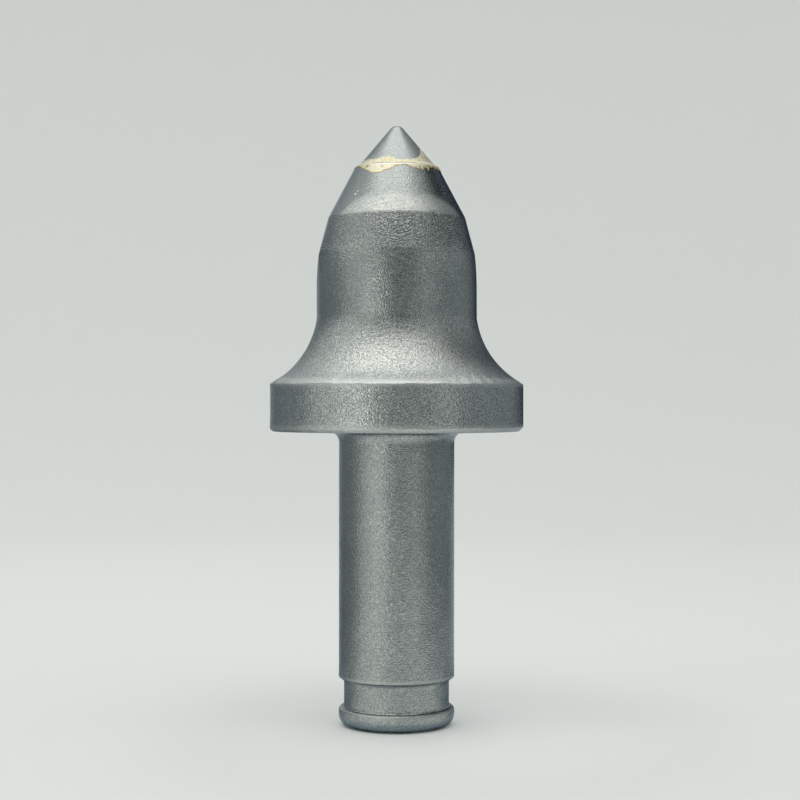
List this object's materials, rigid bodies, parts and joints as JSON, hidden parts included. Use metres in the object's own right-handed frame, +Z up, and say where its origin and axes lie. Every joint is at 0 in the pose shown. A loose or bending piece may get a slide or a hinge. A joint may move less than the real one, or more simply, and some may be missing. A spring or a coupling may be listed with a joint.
{
  "type": "roadheader pick",
  "caption": "Conical cutting pick with a bell-shaped steel head, a collar, a round grooved shank and a brazed carbide point.",
  "frame": {"origin": "centre of the flat end of the shank, on which the pick stands", "axes": "+Z up the pick's axis from the shank's end to the carbide point; -Y is the side that the picture shows"},
  "size_m": [0.0658, 0.0656, 0.1553],
  "materials": {
    "forged_steel": "forged and turned, then shot-blasted to a fine satin grain",
    "tungsten_carbide": "sintered, matt and slightly lighter than the steel",
    "braze_alloy": "as run, pale gold, ragged at its edges"
  },
  "bodies": {
    "root": {"pick_body": "forged_steel", "carbide_tip": "tungsten_carbide", "braze_joint": "braze_alloy"}
  },
  "joints": []
}
